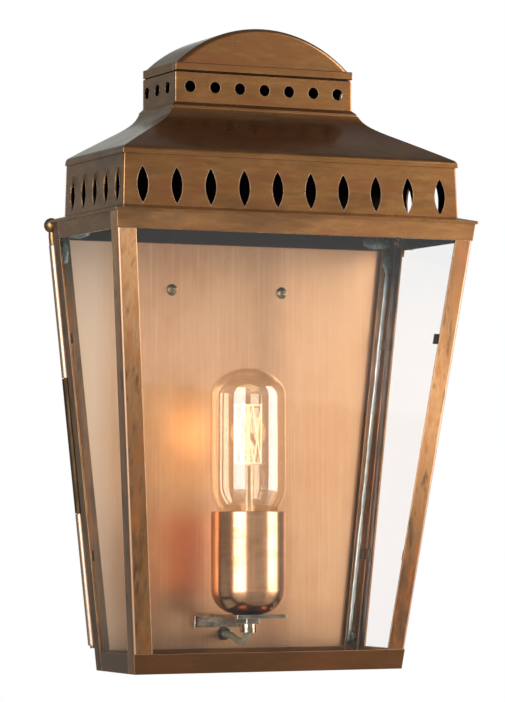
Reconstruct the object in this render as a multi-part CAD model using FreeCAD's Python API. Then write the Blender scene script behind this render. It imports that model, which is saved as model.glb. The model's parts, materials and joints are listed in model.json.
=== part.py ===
import FreeCAD, Part
import math
import os

# Wall lantern: a soldered glazed cage with a pierced roof, hinged on a copper back plate.
# Millimetres. X to the viewer's right, -Y to the front, +Y into the wall, +Z up.
# The origin is the middle of the wall fixing, on the wall plane.

# Cage of folded angle: levels are heights above its foot, depths are taken forward of its rear plane
cage_height = 266.2
screw_drop = 38.2
foot_z = screw_drop - cage_height
rear_y = -9.6
foot_half = 87.0
foot_depth = 59.5
head_half = 115.9
head_depth = 100.5
sheet = 1.0
fold_radius = 1.8
head_fold_radius = 1.0
leg = 11.5
rear_leg = 10.0
side_leg = 9.4
top_rail = 10.6
bottom_rail = 11.7
seat_gap = 0.2
overcut = 12.0

# Glazing, held by folded clips soldered to the posts
glass = 2.0
glass_gap = 0.5
front_pane_drop = 6.2
side_pane_drop = 8.4
clip_room = 3.5
clip_sheet = 0.6
clip_height = 6.0
clip_setback = 1.0
clip_reach = 2.2
clip_foot = 2.9
clip_shares = (0.244, 0.729)

# Cornice ledge over the rails
thin = 0.8
cornice_overhang = 1.1
cornice_lip_drop = 0.8
cornice_edge_rise = 0.9
cornice_rise = 3.3
cornice_half = head_half + cornice_overhang
cornice_depth = head_depth + cornice_overhang
cornice_lip = cage_height - cornice_lip_drop
cornice_edge = cage_height + cornice_edge_rise
cornice_top = cage_height + cornice_rise

# Pierced frieze, standing back from the ledge and leaning in a little
frieze_setback = 7.3
frieze_front_setback = 8.3
frieze_lean = 1.0
frieze_height = 30.8
frieze_half = head_half - frieze_setback
frieze_depth = head_depth - frieze_front_setback
frieze_top_half = frieze_half - frieze_lean
frieze_top_depth = frieze_depth - frieze_lean
frieze_top = cornice_top + frieze_height
vesica_height = 21.6
vesica_width = 7.2
vesica_rise = 12.1
vesica_level = cornice_top + vesica_rise
vesica_front = 10
vesica_margin = 12.3
vesica_side = 5
vesica_side_start = 14.5
vesica_side_margin = 9.7

# Swept roof: its curve is given as shares of the run and of the rise from eave to neck
eave_overhang = 0.9
eave_drop = 0.9
eave_lip = 3.5
eave_roll = 4.0
eave_half = frieze_top_half + eave_overhang
eave_depth = frieze_top_depth + eave_overhang
eave_low = frieze_top - eave_drop
eave_top = eave_low + eave_lip
neck_run = 47.3
neck_front_run = 38.4
roof_rise = 28.9
neck_half = eave_half - neck_run
neck_depth = eave_depth - neck_front_run
neck_level = eave_top + roof_rise
roof_sweep = ((0.0, 0.0), (0.28, 0.246), (0.6, 0.516), (0.82, 0.709), (0.95, 0.875), (1.0, 1.0))
roof_back_gap = 3.0
roof_vent = 6.0

# Pierced collar on a splayed foot, its top drawn in to enter the cap's skirt
collar_setback = 3.0
collar_front_setback = 2.6
collar_step = 0.5
collar_step_rise = 1.6
collar_splay = 3.8
collar_rise = 25.7
collar_step_level = neck_level + collar_step_rise
collar_low = neck_level + collar_splay
collar_top = neck_level + collar_rise
collar_half = neck_half - collar_setback
collar_depth = neck_depth - collar_front_setback
collar_holes = 7
collar_hole_margin = 9.7
collar_hole_r = 3.5
collar_hole_rise = 13.1
collar_hole_level = neck_level + collar_hole_rise
collar_side_holes = 3
collar_side_start = 9.0
collar_side_margin = 11.3

# Vaulted cap, its skirt over the collar's drawn-in top and level with the collar's face
skirt_gap = 0.3
draw_in_rise = 0.9
skirt_lap = 3.3
skirt_top = 1.5
vault_rise = 23.0
vault_shoulder = 1.6
front_pan = 3.2
front_roll = 2.8
front_bead = 0.8
collar_draw_in = skirt_gap + thin
skirt_half = collar_half
skirt_low = collar_top - skirt_lap
vault_spring = collar_top + skirt_top
vault_half = skirt_half - vault_shoulder
vault_top = vault_spring + vault_rise
cap_depth = collar_depth

# Hinge along the left edge, its pin leaning with the side of the cage
knuckle_r = 2.7
pin_r = 1.6
pin_fit = 0.05
hinge_inset = 1.6
knuckle_low = 14.8
knuckle_drop = 13.6
knuckle_high = cage_height - knuckle_drop
knuckle_shares = (0.33, 0.667)
knuckle_end_gap = 0.4
leaf_width = 8.0
pin_stub = 1.8
pin_neck_r = 2.4
pin_neck = 5.4
ball_r = 4.5
ball_rise = 11.8

# Back plate, wall strap and their screws
plate_gap = 2.0
plate_sheet = 0.9
plate_low = 5.0
plate_drop = 10.2
plate_high = cage_height - plate_drop
plate_notch = 4.5
screw_level = -foot_z
screw_half_spacing = 36.75
screw_r = 2.0
screw_head_r = 3.6
screw_head_h = 2.4
screw_slot_w = 0.9
screw_slot_d = 1.0
screw_hole_r = 2.2
strap_half = 60.0
strap_half_height = 11.0
strap_sheet = 2.0
strap_hole_half_spacing = 25.0
strap_hole_r = 2.6

# Closing screw on the right, in an open slot of the plate's lug
lug_drop = 1.2
lug_height = 13.0
lug_high = cage_height - lug_drop
lug_low = lug_high - lug_height
lug_gap = 0.5
lug_reach = 10.0
lug_root = 8.0
close_drop = 5.2
close_level = cage_height - close_drop
close_depth = 5.5
close_r = 1.75
close_fit = 0.05
close_slot_r = 1.95
close_neck_r = 2.9
close_neck = 1.6
close_gap = 0.3
close_nut_half = 3.0
close_nut = 2.6
close_tail = 1.2

# Lamp bracket, off the middle of the plate to the left
lamp_x = -6.4
lamp_depth = 41.5
bracket_half = 16.1
bracket_reach = 61.0
bracket_sheet = 2.3
bracket_top = 33.6
bracket_drop = 9.3
nipple_r = 5.0
nipple_bore = 3.4
nipple_tail = 11.1
nipple_rise = 7.4
nipple_low = bracket_top - nipple_tail
nipple_high = bracket_top + nipple_rise
nut_flat = 7.0
nut_high = 3.5

# Lampholder on the bracket
cup_r = 22.0
cup_height = 60.6
cup_top = bracket_top + cup_height
cup_corner = 15.0
cup_sheet = 0.9
shell_r = 14.2
shell_sheet = 0.5
shell_ring = 2.4
shell_seat = 10.4
shell_length = 25.0
shell_low = bracket_top + shell_seat
shell_top = shell_low + shell_length
body_gap = 0.3
body_wall = 2.6
body_height = 38.4
body_top = bracket_top + body_height
body_floor = 6.5
body_bore = shell_r + body_gap
body_r = body_bore + body_wall
contact_half = 1.75

# Bulb
bulb_r = 22.5
bulb_wall = 0.9
button_r = 4.6
button_seat = 0.6
button_low = shell_low + button_seat
screw_fit = 0.5
screw_cap_r = shell_r - shell_sheet - screw_fit
screw_cap_sheet = 0.4
insulator = 3.4
screw_cap_length = 23.0
screw_cap_low = button_low + insulator
screw_cap_high = screw_cap_low + screw_cap_length
cement_gap = 0.6
bulb_neck_r = screw_cap_r - screw_cap_sheet - cement_gap
cement_lap = 1.0
throat_rise = 10.0
shoulder_rise = 30.0
wall_rise = 53.2
dome_rise = 16.8
dome_corner_r = 12.0
bulb_neck = screw_cap_high - cement_lap
bulb_throat = bulb_neck + throat_rise
bulb_shoulder = bulb_throat + shoulder_rise
bulb_dome = bulb_shoulder + wall_rise
bulb_top = bulb_dome + dome_rise
stem_foot_r = bulb_neck_r - bulb_wall - seat_gap
stem_r = 3.6
stem_seat = 6.0
stem_length = 46.0
stem_low = bulb_neck + stem_seat
stem_flare = 11.5
stem_top = stem_low + stem_length
wire_r = 0.45
hairpins = 4
hairpin_r = 8.5
hairpin_rise = 36.0
hairpin_top = stem_top + hairpin_rise
hub_r = 2.6
hub_rise = 5.5
hub_level = stem_top + hub_rise

# Supply cable from the nipple to the wall, its route as shares of the way to the plate
cable_r = 2.1
cable_bend = 7.0
cable_x = -2.2
cable_hole_level = 20.3
cable_low = 16.8
cable_dip_share = 0.45
cable_rise_share = 0.72
cable_tuck = 2.0
grommet_wall = 0.9
cable_hole_r = cable_r + grommet_wall
cable_top = nipple_high - cable_tuck
grommet_flange_r = cable_hole_r + grommet_wall
grommet_lip = 1.2


def vec(x, y, z):
    return FreeCAD.Vector(x, y, z)


def half_at(h):
    return foot_half + (head_half - foot_half) * h / cage_height


def front_y(h):
    return rear_y - foot_depth - (head_depth - foot_depth) * h / cage_height


def z_at(h):
    return foot_z + h


plate_y = rear_y + plate_gap
axis_y = plate_y + knuckle_r
lamp_y = rear_y - lamp_depth
side_lean = vec(foot_half - head_half, 0, cage_height)
corner_lean = vec(foot_half - head_half, foot_depth - head_depth, cage_height)
diagonal = math.sqrt(0.5)


def face_of(points):
    return Part.Face(Part.makePolygon(list(points) + [points[0]]))


def outline(start, *steps):
    """Face inside a closed line: a step is a point to run straight to, or an arc as (through, end)."""
    edges = []
    here = start
    for step in steps + (start,):
        end = step[1] if isinstance(step, tuple) else step
        if isinstance(step, tuple):
            edges.append(Part.Arc(here, step[0], end).toShape())
        elif not here.isEqual(end, 1e-6):
            edges.append(Part.LineSegment(here, end).toShape())
        here = end
    return Part.Face(Part.Wire(edges))


def box(x0, x1, y0, y1, z0, z1):
    return Part.makeBox(x1 - x0, y1 - y0, z1 - z0, vec(x0, y0, z0))


def rod_x(r, x0, x1, y, z):
    return Part.makeCylinder(r, x1 - x0, vec(x0, y, z), vec(1, 0, 0))


def rod_y(r, x, y0, y1, z):
    return Part.makeCylinder(r, y1 - y0, vec(x, y0, z), vec(0, 1, 0))


def joined(shapes):
    result = shapes[0].fuse(list(shapes[1:])) if len(shapes) > 1 else shapes[0]
    return result.removeSplitter()


def mirrored(shape):
    return shape.mirror(vec(0, 0, 0), vec(1, 0, 0))


# Folded angle frame


def angle_section(x_leg, y_leg, y_way):
    """Folded angle with its outer corner at the origin, one leg along +X and one along y_way."""
    def at(x, y):
        return vec(x, y * y_way, 0)

    outer_mid = fold_radius * (1 - diagonal)
    inner_mid = fold_radius - (fold_radius - sheet) * diagonal
    return outline(at(fold_radius, 0), at(x_leg, 0), at(x_leg, sheet), at(fold_radius, sheet),
                   (at(inner_mid, inner_mid), at(sheet, fold_radius)),
                   at(sheet, y_leg), at(0, y_leg), at(0, fold_radius),
                   (at(outer_mid, outer_mid), at(fold_radius, 0)))


def front_slab(low, high):
    """Front wall of the frame between two levels, one sheet thick, as wide as the frame."""
    points = []
    for h, side in ((low, -1), (low, 1), (high, 1), (high, -1)):
        points.append(vec(side * half_at(h), front_y(h), z_at(h)))
    return face_of(points).extrude(vec(0, sheet, 0))


def front_post():
    post = angle_section(leg, side_leg, 1)
    post.translate(vec(-foot_half, front_y(0), foot_z))
    post = post.extrude(corner_lean)
    post = post.cut(front_slab(-sheet, bottom_rail))
    return post.cut(front_slab(cage_height - top_rail, cage_height + sheet))


def rear_post():
    post = angle_section(rear_leg, side_leg, -1)
    post.translate(vec(-foot_half, rear_y, foot_z))
    return post.extrude(side_lean)


def front_rail(low, high, flange):
    wall = front_slab(low, high)
    half = half_at(flange) - fold_radius - seat_gap
    y = front_y(flange)
    shelf = box(-half, half, y + sheet / 2, y + side_leg - seat_gap, z_at(flange), z_at(flange) + sheet)
    return joined([wall, shelf])


def side_rail(low, high, flange):
    rear = rear_y - side_leg
    points = []
    for h in (low, high):
        ends = [vec(-half_at(h), front_y(h) + side_leg, z_at(h)), vec(-half_at(h), rear, z_at(h))]
        points += ends if h == low else ends[::-1]
    wall = face_of(points).extrude(vec(sheet, 0, 0))
    x, y = -half_at(flange), front_y(flange) + side_leg
    shelf = box(x + sheet / 2, x + leg, y, rear, z_at(flange), z_at(flange) + sheet)
    return joined([wall, shelf])


def rear_rail(low, high, flange):
    points = []
    for h, side in ((low, -1), (low, 1), (high, 1), (high, -1)):
        points.append(vec(side * (half_at(h) - rear_leg), rear_y, z_at(h)))
    wall = face_of(points).extrude(vec(0, -sheet, 0))
    half = half_at(flange) - rear_leg
    shelf = box(-half, half, rear_y - side_leg, rear_y - sheet / 2, z_at(flange), z_at(flange) + sheet)
    return joined([wall, shelf])


# Glazing


def front_pane():
    low, high = sheet + seat_gap, cage_height - front_pane_drop
    inset = fold_radius + glass_gap
    points = []
    for h, side in ((low, -1), (low, 1), (high, 1), (high, -1)):
        points.append(vec(side * (half_at(h) - inset), front_y(h) + sheet, z_at(h)))
    return face_of(points).extrude(vec(0, glass, 0))


def side_pane():
    low, high = sheet + seat_gap, cage_height - side_pane_drop
    rear = rear_y - fold_radius - glass_gap
    points = []
    for h in (low, high):
        x = -half_at(h) + sheet
        ends = [vec(x, front_y(h) + sheet + glass + clip_room, z_at(h)), vec(x, rear, z_at(h))]
        points += ends if h == low else ends[::-1]
    return face_of(points).extrude(vec(glass, 0, 0))


def leaning(points, origin, lean, share):
    """Prism of a level section, one clip high, standing on a leaning corner."""
    base = face_of([vec(origin.x + x, origin.y + y, origin.z) for x, y in points])
    base.translate(lean * share)
    return base.extrude(lean * (clip_height / cage_height))


def front_clip(share, tip):
    """Clip on the left front post, its tab running to tip behind the front pane."""
    back, bend = sheet + glass, sheet + clip_sheet
    section = [(sheet, back), (tip, back), (tip, back + clip_sheet), (bend, back + clip_sheet),
               (bend, back + clip_foot), (sheet, back + clip_foot)]
    return leaning(section, vec(-foot_half, front_y(0), foot_z), corner_lean, share)


def rear_clip(share, tip):
    """Clip on the left rear post, its tab running to tip inside the side pane."""
    back, bend = sheet + glass, sheet + clip_sheet
    foot = back + clip_foot + clip_sheet
    section = [(back, -sheet), (foot, -sheet), (foot, -bend), (back + clip_sheet, -bend),
               (back + clip_sheet, -tip), (back, -tip)]
    return leaning(section, vec(-foot_half, rear_y, foot_z), side_lean, share)


def glass_clips():
    """Two clips to each post; only the upper right front one reaches out past its post's leg."""
    low, high = clip_shares
    hidden, shown = leg - clip_setback, leg + clip_reach
    left = [front_clip(low, hidden), front_clip(high, hidden)]
    right = [front_clip(low, hidden), front_clip(high, shown)]
    rear = [rear_clip(share, side_leg - clip_setback) for share in clip_shares]
    return Part.makeCompound(left + rear + [mirrored(c) for c in right + rear])


# Roof work


def level_wire(half, depth, h, back, corner):
    """Level rectangle open to the rear plane, its two front corners rounded if corner is given."""
    y0, y1, z = rear_y - back, rear_y - depth, z_at(h)
    if not corner:
        corners = [vec(-half, y0, z), vec(-half, y1, z), vec(half, y1, z), vec(half, y0, z)]
        return Part.makePolygon(corners + corners[:1])
    mid = corner * (1 - diagonal)
    face = outline(vec(-half, y0, z), vec(-half, y1 + corner, z),
                   (vec(mid - half, y1 + mid, z), vec(corner - half, y1, z)), vec(half - corner, y1, z),
                   (vec(half - mid, y1 + mid, z), vec(half, y1 + corner, z)), vec(half, y0, z))
    return face.OuterWire


def hip_solid(levels, back, corner=0):
    """Stack of level rectangles (half width, depth, level), flat at the back."""
    return Part.makeLoft([level_wire(*level, back, corner) for level in levels], True, True)


def cornice():
    inner_half, inner_depth = frieze_half - seat_gap, frieze_depth - seat_gap
    outer = hip_solid([(cornice_half, cornice_depth, cornice_lip),
                       (cornice_half, cornice_depth, cornice_edge),
                       (inner_half, inner_depth, cornice_top)], 0)
    half, depth = cornice_half - thin, cornice_depth - thin
    inner = hip_solid([(half, depth, cornice_lip - thin), (half, depth, cornice_edge - thin),
                       (inner_half - thin, inner_depth - thin, cornice_top - thin)], -thin)
    well = box(thin - inner_half, inner_half - thin, rear_y - inner_depth + thin, rear_y + thin,
               z_at(cornice_lip), z_at(cornice_top + thin))
    return outer.cut(inner).cut(well)


def vesica(side, out):
    """Pointed opening at the origin, as wide as vesica_width along side, cutting along out."""
    low, high = vec(0, 0, -vesica_height / 2), vec(0, 0, vesica_height / 2)
    reach = side * (vesica_width / 2)
    return outline(low, (reach, high), (reach * -1, low)).extrude(out)


def frieze_solid(back, inset):
    corner = head_fold_radius - inset
    return hip_solid([(frieze_half - inset, frieze_depth - inset, cornice_top),
                      (frieze_top_half - inset, frieze_top_depth - inset, frieze_top)], back, corner)


def vent_frieze():
    skin = frieze_solid(roof_back_gap + thin, 0).cut(frieze_solid(roof_back_gap, thin))
    z = z_at(vesica_level)
    tools = []
    first = frieze_half - vesica_margin
    for i in range(vesica_front):
        tool = vesica(vec(1, 0, 0), vec(0, 2 * overcut, 0))
        x = -first + 2 * first * i / (vesica_front - 1)
        tool.translate(vec(x, rear_y - frieze_depth - overcut, z))
        tools.append(tool)
    span = frieze_depth - vesica_side_margin - vesica_side_start
    for i in range(vesica_side):
        tool = vesica(vec(0, 1, 0), vec(2 * (frieze_half + overcut), 0, 0))
        y = rear_y - vesica_side_start - span * i / (vesica_side - 1)
        tool.translate(vec(-frieze_half - overcut, y, z))
        tools.append(tool)
    return skin.cut(tools)


def swept_profile(edge, neck, inset, back):
    """Roof profile in plan distance and height: lip, swept slope and a flat top back to the middle line."""
    points = [vec(edge + (neck - edge) * run - inset, 0, z_at(eave_top + roof_rise * rise - inset))
              for run, rise in roof_sweep]
    curve = Part.BSplineCurve()
    curve.interpolate(points)
    foot, top = points[0], points[-1]
    low = z_at(eave_low - inset)
    corners = [top, vec(back, 0, top.z), vec(back, 0, low), vec(foot.x, 0, low), foot]
    edges = [Part.LineSegment(a, b).toShape() for a, b in zip(corners, corners[1:])]
    return Part.Face(Part.Wire(Part.__sortEdges__([curve.toShape()] + edges)))


def rolled(prism, x, inset):
    """Rounds the long edge of a swept prism where its slope turns down into the lip."""
    z = z_at(eave_top - inset)
    edge = [e for e in prism.Edges if abs(e.BoundBox.XMax - x) < seat_gap and e.BoundBox.XLength < seat_gap
            and abs(e.BoundBox.ZMin - z) < seat_gap and e.BoundBox.ZLength < seat_gap]
    return prism.makeFillet(eave_roll - inset, edge)


def roof_solid(back, inset):
    """Hipped solid: the side slopes drawn from back to front, the front slope from side to side."""
    long = eave_depth + 2 * overcut
    right = swept_profile(eave_half, neck_half, inset, 0).extrude(vec(0, -long, 0))
    right = rolled(right, eave_half - inset, inset)
    right.translate(vec(0, rear_y + overcut, 0))
    wide = 2 * (eave_half + overcut)
    front = swept_profile(eave_depth, neck_depth, inset, back).extrude(vec(0, wide, 0))
    front = rolled(front, eave_depth - inset, inset)
    front.rotate(vec(0, 0, 0), vec(0, 0, 1), -90)
    front.translate(vec(-eave_half - overcut, rear_y, 0))
    return joined([right, mirrored(right)]).common(front)


def roof():
    skin = roof_solid(roof_back_gap + thin, 0).cut(roof_solid(roof_back_gap, thin))
    half, depth = neck_half - roof_vent, neck_depth - roof_vent
    top = z_at(neck_level)
    return skin.cut(box(-half, half, rear_y - depth, rear_y, top - overcut, top + overcut))


def collar_solid(back, inset):
    """Straight collar with a foot splayed out on the neck of the roof and a drawn-in top."""
    step, mouth = collar_step + inset, collar_draw_in + inset
    levels = [(neck_half - inset, neck_depth - inset, neck_level - inset),
              (neck_half - step, neck_depth - step, collar_step_level - inset),
              (collar_half - inset, collar_depth - inset, collar_low - inset),
              (collar_half - inset, collar_depth - inset, skirt_low - draw_in_rise),
              (collar_half - mouth, collar_depth - mouth, skirt_low - seat_gap),
              (collar_half - mouth, collar_depth - mouth, collar_top + inset)]
    return hip_solid(levels, back, head_fold_radius - inset)


def vent_collar():
    skin = collar_solid(roof_back_gap + thin, 0).cut(collar_solid(roof_back_gap, thin))
    z = z_at(collar_hole_level)
    front = rear_y - collar_depth
    first = collar_half - collar_hole_margin
    tools = []
    for i in range(collar_holes):
        x = -first + 2 * first * i / (collar_holes - 1)
        tools.append(rod_y(collar_hole_r, x, front - overcut, front + overcut, z))
    span = collar_depth - collar_side_margin - collar_side_start
    for i in range(collar_side_holes):
        y = rear_y - collar_side_start - span * i / (collar_side_holes - 1)
        tools.append(rod_x(collar_hole_r, -collar_half - overcut, collar_half + overcut, y, z))
    return skin.cut(tools)


def vault_solid(start, end, inset):
    """Arched prism with a square skirt under its springing, between two depths."""
    y = rear_y - start
    spring, low = z_at(vault_spring - inset), z_at(skirt_low - inset)
    skirt, half = skirt_half - inset, vault_half - inset
    face = outline(vec(half, y, spring), vec(skirt, y, spring), vec(skirt, y, low), vec(-skirt, y, low),
                   vec(-skirt, y, spring), vec(-half, y, spring),
                   (vec(0, y, z_at(vault_top - inset)), vec(half, y, spring)))
    return face.extrude(vec(0, start - end, 0))


def cap_vault():
    start, end = roof_back_gap + thin, cap_depth - front_pan
    return vault_solid(start, end, 0).cut(vault_solid(start - thin, end + thin, thin))


def rolled_arch(solid, depth, roll):
    """Rounds the arched front edge of the cap's front pan."""
    y = rear_y - depth
    arch = [e for e in solid.Edges if abs(e.BoundBox.YMin - y) < seat_gap and e.BoundBox.YLength < seat_gap
            and isinstance(e.Curve, Part.Circle)]
    return solid.makeFillet(roll, arch)


def cap_front():
    outer = rolled_arch(vault_solid(cap_depth - front_pan, cap_depth, 0), cap_depth, front_roll)
    hollow = vault_solid(cap_depth - front_pan - thin, cap_depth - thin, thin)
    pan = outer.cut(rolled_arch(hollow, cap_depth - thin, front_roll - thin))
    y = rear_y - cap_depth
    bead = box(-skirt_half, skirt_half, y - front_bead, y + thin / 2, z_at(skirt_low), z_at(vault_spring))
    edges = [e for e in bead.Edges if abs(e.BoundBox.YMax - y + front_bead) < seat_gap / 2
             and e.BoundBox.XLength > skirt_half]
    return joined([pan, bead.makeFillet(front_bead * diagonal, edges)])


def roof_back():
    y = rear_y - roof_back_gap
    slab = box(-cage_height, cage_height, y - thin, y, z_at(cornice_top), z_at(vault_top + overcut))
    outlines = [frieze_solid(0, 0), roof_solid(0, 0), collar_solid(0, 0), vault_solid(0, cap_depth, 0)]
    return joined([slab.common(o) for o in outlines])


# Hinge


def knuckle_level(share):
    return knuckle_low + (knuckle_high - knuckle_low) * share


def hinge_point(h):
    return vec(-(half_at(h) - hinge_inset), axis_y, z_at(h))


def along_hinge(r, low, high):
    start = hinge_point(low)
    way = hinge_point(high) - start
    return Part.makeCylinder(r, way.Length, start, way)


def hinge_bore():
    return along_hinge(pin_r + pin_fit, plate_low, plate_high)


def side_strip(points, low, high):
    """Prism along the leaning left edge; points are measured from the hinge axis and the plate face."""
    base = face_of([vec(hinge_point(low).x + x, plate_y + y, z_at(low)) for x, y in points])
    return base.extrude(hinge_point(high) - hinge_point(low))


def cage_knuckle():
    low, high = [knuckle_level(share) for share in knuckle_shares]
    web = knuckle_r - pin_r - sheet / 2
    face = plate_sheet - plate_gap
    leaf = side_strip([(-plate_sheet, -plate_gap), (leaf_width, -plate_gap), (leaf_width, face),
                       (sheet / 2, face), (sheet / 2, web), (-plate_sheet, web)], low, high)
    return joined([leaf, along_hinge(knuckle_r, low, high)]).cut(hinge_bore())


def hinge_pin():
    neck_top, ball = knuckle_high + pin_neck, knuckle_high + ball_rise
    rod = along_hinge(pin_r, knuckle_low - pin_stub, ball)
    neck = along_hinge(pin_neck_r, knuckle_high, neck_top)
    start = hinge_point(neck_top)
    way = hinge_point(ball) - start
    taper = Part.makeCone(pin_neck_r, pin_r, way.Length, start, way)
    return joined([rod, neck, taper, Part.makeSphere(ball_r, hinge_point(ball))])


# Wall unit


def lug():
    """Slotted lug at the plate's upper right corner, standing forward beside the rear post."""
    out = hinge_inset + lug_gap
    far = out + plate_sheet
    tip = -plate_gap - lug_reach
    points = [(-lug_root, 0), (out, 0), (out, tip), (far, tip), (far, plate_sheet), (-lug_root, plate_sheet)]
    strip = mirrored(side_strip([(-x, y) for x, y in points], lug_low, lug_high))
    y, z = rear_y - close_depth, z_at(close_level)
    slot = rod_x(close_slot_r, head_half - overcut, head_half + overcut, y, z)
    mouth = box(head_half - overcut, head_half + overcut, y - lug_reach, y,
                z - close_slot_r, z + close_slot_r)
    return strip.cut([slot, mouth])


def plate_sheet_cut():
    """Flat of the back plate, notched along its left edge where no knuckle is rolled from it."""
    points = []
    for h, side in ((plate_low, -1), (plate_low, 1), (plate_high, 1), (plate_high, -1)):
        points.append(vec(side * -hinge_point(h).x, plate_y, z_at(h)))
    plate = face_of(points).extrude(vec(0, plate_sheet, 0))
    notch = [(-plate_notch, -sheet), (plate_notch, -sheet), (plate_notch, plate_sheet + sheet),
             (-plate_notch, plate_sheet + sheet)]
    low, high = [knuckle_level(share) for share in knuckle_shares]
    spans = ((plate_low - sheet, knuckle_low), (low - knuckle_end_gap, high + knuckle_end_gap),
             (knuckle_high, plate_high + sheet))
    return plate.cut([side_strip(notch, start, end) for start, end in spans])


def back_plate():
    low, high = [knuckle_level(share) for share in knuckle_shares]
    return_flange = [(0, 0), (plate_sheet, 0), (plate_sheet, -plate_y), (0, -plate_y)]
    pieces = [plate_sheet_cut(), mirrored(side_strip(return_flange, plate_low, plate_high)), lug(),
              along_hinge(knuckle_r, knuckle_low, low - knuckle_end_gap),
              along_hinge(knuckle_r, high + knuckle_end_gap, knuckle_high)]
    for level in (plate_low, plate_high - plate_sheet):
        half = -hinge_point(level).x - plate_notch
        pieces.append(box(-half, half + plate_notch / 2, plate_y, 0, z_at(level), z_at(level) + plate_sheet))
    holes = [hinge_bore(),
             rod_y(cable_hole_r, cable_x, plate_y - overcut, plate_y + overcut, z_at(cable_hole_level))]
    for x in (-screw_half_spacing, screw_half_spacing):
        holes.append(rod_y(screw_hole_r, x, plate_y - overcut, plate_y + overcut, z_at(screw_level)))
    return joined(pieces).cut(holes)


def wall_strap():
    z = z_at(screw_level)
    strap = box(-strap_half, strap_half, -strap_sheet, 0, z - strap_half_height, z + strap_half_height)
    holes = []
    for side in (-1, 1):
        for x, r in ((screw_half_spacing, screw_r + pin_fit), (strap_hole_half_spacing, strap_hole_r)):
            holes.append(rod_y(r, side * x, -overcut, overcut, z))
    return strap.cut(holes)


def plate_screws():
    dome_r = (screw_head_r ** 2 + screw_head_h ** 2) / (2 * screw_head_h)
    z = z_at(screw_level)
    tip = plate_y - screw_head_h
    screws = []
    for x in (-screw_half_spacing, screw_half_spacing):
        dome = Part.makeSphere(dome_r, vec(x, tip + dome_r, z))
        dome = dome.common(rod_y(screw_head_r, x, tip, plate_y, z))
        shank = rod_y(screw_r, x, plate_y, -pin_fit, z)
        slot = box(x - screw_head_r, x + screw_head_r, tip - sheet, tip + screw_slot_d,
                   z - screw_slot_w / 2, z + screw_slot_w / 2)
        screws.append(joined([dome, shank]).cut(slot))
    return Part.makeCompound(screws)


def thumb_screw():
    """Ball-headed screw through the lug's slot and the rear right post."""
    face = half_at(close_level) + lug_gap + plate_sheet + close_gap
    y, z = rear_y - close_depth, z_at(close_level)
    tail = half_at(close_level) - sheet - close_nut - close_tail
    shank = rod_x(close_r, tail, face + close_neck, y, z)
    neck = rod_x(close_neck_r, face, face + close_neck, y, z)
    ball = Part.makeSphere(ball_r, vec(face + close_neck + math.sqrt(ball_r ** 2 - close_neck_r ** 2), y, z))
    return joined([shank, neck, ball])


def closing_nut():
    y, z = rear_y - close_depth, z_at(close_level)
    points = []
    for h in (close_level - close_nut_half, close_level + close_nut_half):
        x = half_at(h) - sheet
        ends = [vec(x, y - close_nut_half, z_at(h)), vec(x - close_nut, y - close_nut_half, z_at(h))]
        points += ends if h < close_level else ends[::-1]
    block = face_of(points).extrude(vec(0, 2 * close_nut_half, 0))
    return block.cut(rod_x(close_r + close_fit, head_half - 2 * overcut, head_half + overcut, y, z))


def drilled_rear_post():
    y, z = rear_y - close_depth, z_at(close_level)
    return mirrored(rear_post()).cut(rod_x(close_slot_r, head_half - overcut, head_half + overcut, y, z))


def upright(r, low, high):
    """Cylinder on the lamp's upright axis."""
    return Part.makeCylinder(r, high - low, vec(lamp_x, lamp_y, z_at(low)))


def lamp_bracket():
    """Strip standing forward from the plate, its rear end folded down against it."""
    x0, x1 = lamp_x - bracket_half, lamp_x + bracket_half
    top, drop = z_at(bracket_top), z_at(bracket_top - bracket_drop)
    front = rear_y - bracket_reach
    mid = bracket_sheet * (1 - diagonal)
    section = outline(vec(x0, front, top), vec(x0, plate_y - bracket_sheet, top),
                      (vec(x0, plate_y - mid, top - mid), vec(x0, plate_y, top - bracket_sheet)),
                      vec(x0, plate_y, drop), vec(x0, plate_y - bracket_sheet, drop),
                      vec(x0, plate_y - bracket_sheet, top - bracket_sheet),
                      vec(x0, front, top - bracket_sheet))
    strip = section.extrude(vec(x1 - x0, 0, 0))
    return strip.cut(upright(nipple_r + seat_gap, bracket_top - overcut, bracket_top + overcut))


def holder_nipple():
    rod = upright(nipple_r, nipple_low, nipple_high)
    return rod.cut(upright(nipple_bore, nipple_low - overcut, nipple_high + overcut))


def nipple_nut():
    corner = nut_flat / math.cos(math.pi / 6)
    top = bracket_top - bracket_sheet
    low = z_at(top - nut_high)
    points = []
    for i in range(6):
        a = i * math.pi / 3
        points.append(vec(lamp_x + corner * math.cos(a), lamp_y + corner * math.sin(a), low))
    nut = face_of(points).extrude(vec(0, 0, nut_high))
    return nut.cut(upright(nipple_r + pin_fit, top - overcut, top + overcut))


# Lampholder


def rim(r, h):
    """Point at a radius from the lamp's axis, in the plane that profiles are drawn in."""
    return vec(lamp_x + r, lamp_y, z_at(h))


def spun(face):
    return face.revolve(rim(0, 0), vec(0, 0, 1), 360)


def turned(points):
    return spun(face_of([rim(r, h) for r, h in points]))


def holder_cup():
    """Spun cup with a rounded foot and a hole for the nipple."""
    bore = nipple_r + seat_gap
    floor = bracket_top + cup_sheet
    bend_r, bend = cup_r - cup_corner, bracket_top + cup_corner
    outer_mid = cup_corner * diagonal
    inner_mid = (cup_corner - cup_sheet) * diagonal
    inner_r = cup_r - cup_sheet
    return spun(outline(rim(bore, bracket_top), rim(bend_r, bracket_top),
                        (rim(bend_r + outer_mid, bend - outer_mid), rim(cup_r, bend)), rim(cup_r, cup_top),
                        rim(inner_r, cup_top), rim(inner_r, bend),
                        (rim(bend_r + inner_mid, bend - inner_mid), rim(bend_r, floor)), rim(bore, floor)))


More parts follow.
